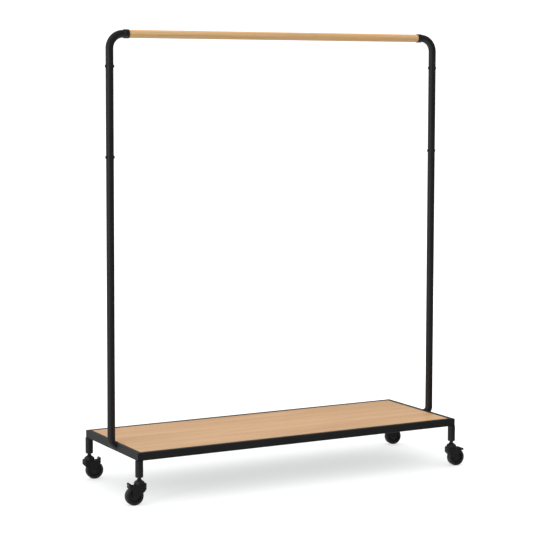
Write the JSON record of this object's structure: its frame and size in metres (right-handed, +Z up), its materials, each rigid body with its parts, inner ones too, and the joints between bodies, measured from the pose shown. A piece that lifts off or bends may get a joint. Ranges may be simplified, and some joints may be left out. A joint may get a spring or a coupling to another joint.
{
  "type": "rolling clothes rack",
  "caption": "Low shelf frame on swivel casters with tall tube uprights holding a round wooden hanging rail, for hanging clothes above a storage shelf.",
  "frame": {"origin": "on the floor under the middle of the shelf frame", "axes": "+X along the rack, +Y to its back, +Z up"},
  "size_m": [1.2669, 0.432, 1.4771],
  "materials": {
    "frame_paint": "satin black powder coat",
    "shelf_wood": "satin clear lacquer on light oak veneer",
    "rail_wood": "satin clear lacquer on turned beech",
    "fastener": "black zinc",
    "plug": "black moulded",
    "caster_steel": "black painted pressed steel",
    "ball_steel": "greased bearing steel",
    "tread": "dark grey moulded tread",
    "wheel_hub": "black nylon",
    "pedal": "black nylon"
  },
  "bodies": {
    "rack": {"front_rail": "frame_paint", "back_rail": "frame_paint", "left_end_rail": "frame_paint", "right_end_rail": "frame_paint", "shelf_board": "shelf_wood", "shelf_tabs": "frame_paint", "shelf_screws": "fastener", "front_left_leg": "frame_paint", "front_right_leg": "frame_paint", "back_left_leg": "frame_paint", "back_right_leg": "frame_paint", "leg_plugs": "plug", "left_lower_upright": "frame_paint", "right_lower_upright": "frame_paint", "left_middle_upright": "frame_paint", "right_middle_upright": "frame_paint", "left_top_bend": "frame_paint", "right_top_bend": "frame_paint", "left_rail_collar": "frame_paint", "right_rail_collar": "frame_paint", "hanging_rail": "rail_wood", "joint_bolts": "fastener", "joint_nuts": "fastener", "front_left_caster_stem": "caster_steel", "front_left_caster_bell": "caster_steel", "back_left_caster_stem": "caster_steel", "back_left_caster_bell": "caster_steel", "front_right_caster_stem": "caster_steel", "front_right_caster_bell": "caster_steel", "back_right_caster_stem": "caster_steel", "back_right_caster_bell": "caster_steel"},
    "front_left_swivel": {"front_left_caster_balls": "ball_steel", "front_left_caster_fork": "caster_steel", "front_left_caster_axle": "caster_steel", "front_left_caster_brake_pin": "caster_steel"},
    "front_left_wheel": {"front_left_caster_tyre": "tread", "front_left_caster_hub": "wheel_hub"},
    "front_left_brake": {"front_left_caster_brake_pedal": "pedal"},
    "back_left_swivel": {"back_left_caster_balls": "ball_steel", "back_left_caster_fork": "caster_steel", "back_left_caster_axle": "caster_steel", "back_left_caster_brake_pin": "caster_steel"},
    "back_left_wheel": {"back_left_caster_tyre": "tread", "back_left_caster_hub": "wheel_hub"},
    "back_left_brake": {"back_left_caster_brake_pedal": "pedal"},
    "front_right_swivel": {"front_right_caster_balls": "ball_steel", "front_right_caster_fork": "caster_steel", "front_right_caster_axle": "caster_steel", "front_right_caster_brake_pin": "caster_steel"},
    "front_right_wheel": {"front_right_caster_tyre": "tread", "front_right_caster_hub": "wheel_hub"},
    "front_right_brake": {"front_right_caster_brake_pedal": "pedal"},
    "back_right_swivel": {"back_right_caster_balls": "ball_steel", "back_right_caster_fork": "caster_steel", "back_right_caster_axle": "caster_steel", "back_right_caster_brake_pin": "caster_steel"},
    "back_right_wheel": {"back_right_caster_tyre": "tread", "back_right_caster_hub": "wheel_hub"},
    "back_right_brake": {"back_right_caster_brake_pedal": "pedal"}
  },
  "joints": [
    {"name": "front_left_swivel", "type": "hinge", "parent": "rack", "child": "front_left_swivel", "pos_m": [-0.587, -0.199, 0.0604], "axis": [0, 0, 1], "continuous": true},
    {"name": "front_left_roll", "type": "hinge", "parent": "front_left_swivel", "child": "front_left_wheel", "pos_m": [-0.60396, -0.19781, 0.029], "axis": [-0.0698, -0.9976, 0], "continuous": true},
    {"name": "front_left_brake", "type": "hinge", "parent": "front_left_swivel", "child": "front_left_brake", "pos_m": [-0.61842, -0.1968, 0.059], "axis": [0.0698, 0.9976, 0], "range_deg": [-95, 0]},
    {"name": "back_left_swivel", "type": "hinge", "parent": "rack", "child": "back_left_swivel", "pos_m": [-0.587, 0.199, 0.0604], "axis": [0, 0, 1], "continuous": true},
    {"name": "back_left_roll", "type": "hinge", "parent": "back_left_swivel", "child": "back_left_wheel", "pos_m": [-0.57009, 0.19722, 0.029], "axis": [0.1045, 0.9945, 0], "continuous": true},
    {"name": "back_left_brake", "type": "hinge", "parent": "back_left_swivel", "child": "back_left_brake", "pos_m": [-0.55567, 0.19571, 0.059], "axis": [-0.1045, -0.9945, 0], "range_deg": [-95, 0]},
    {"name": "front_right_swivel", "type": "hinge", "parent": "rack", "child": "front_right_swivel", "pos_m": [0.587, -0.199, 0.0604], "axis": [0, 0, 1], "continuous": true},
    {"name": "front_right_roll", "type": "hinge", "parent": "front_right_swivel", "child": "front_right_wheel", "pos_m": [0.60396, -0.20019, 0.029], "axis": [0.0698, 0.9976, 0], "continuous": true},
    {"name": "front_right_brake", "type": "hinge", "parent": "front_right_swivel", "child": "front_right_brake", "pos_m": [0.61842, -0.2012, 0.059], "axis": [-0.0698, -0.9976, 0], "range_deg": [0, 95]},
    {"name": "back_right_swivel", "type": "hinge", "parent": "rack", "child": "back_right_swivel", "pos_m": [0.587, 0.199, 0.0604], "axis": [0, 0, 1], "continuous": true},
    {"name": "back_right_roll", "type": "hinge", "parent": "back_right_swivel", "child": "back_right_wheel", "pos_m": [0.60384, 0.19663, 0.029], "axis": [0.1392, 0.9903, 0], "continuous": true},
    {"name": "back_right_brake", "type": "hinge", "parent": "back_right_swivel", "child": "back_right_brake", "pos_m": [0.61819, 0.19462, 0.059], "axis": [-0.1392, -0.9903, 0], "range_deg": [0, 95]}
  ]
}
